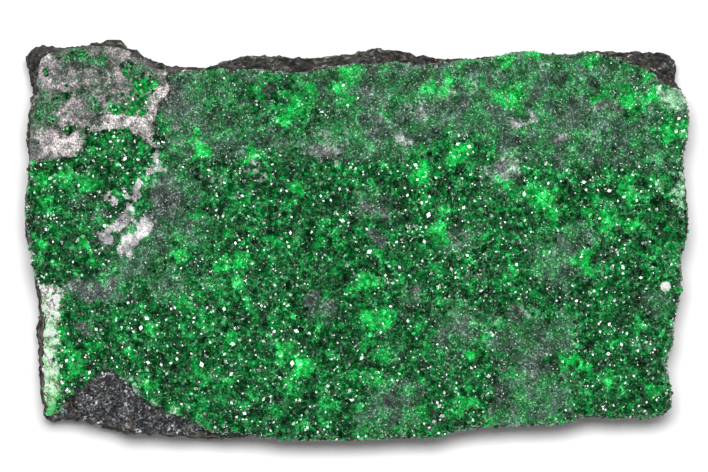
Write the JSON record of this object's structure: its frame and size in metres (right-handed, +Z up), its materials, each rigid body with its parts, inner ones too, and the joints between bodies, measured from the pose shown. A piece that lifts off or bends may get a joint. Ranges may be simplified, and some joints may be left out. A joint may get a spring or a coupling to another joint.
{
  "type": "uvarovite garnet specimen",
  "caption": "Flat broken slab of dark chromite rock with its upper face covered by a sparkling crust of small green garnet crystals.",
  "frame": {"origin": "under the middle of the slab, on the surface that it rests on", "axes": "+X along the slab's length, +Y towards the broken back edge with the rock ledge, +Z up out of the garnet crust"},
  "size_m": [0.06, 0.0362, 0.0112],
  "materials": {
    "chromite": "broken brown-black rock with a faint metallic sparkle",
    "garnet": "small glassy emerald-green crystals that sparkle",
    "chlorite": "dull fine-grained grey to pale lilac",
    "calcite": "dull pale mint to white broken edge"
  },
  "bodies": {
    "root": {"chromite_slab": "chromite", "garnet_crust": "garnet", "chlorite_patch": "chlorite", "calcite_seam": "calcite"}
  },
  "joints": []
}
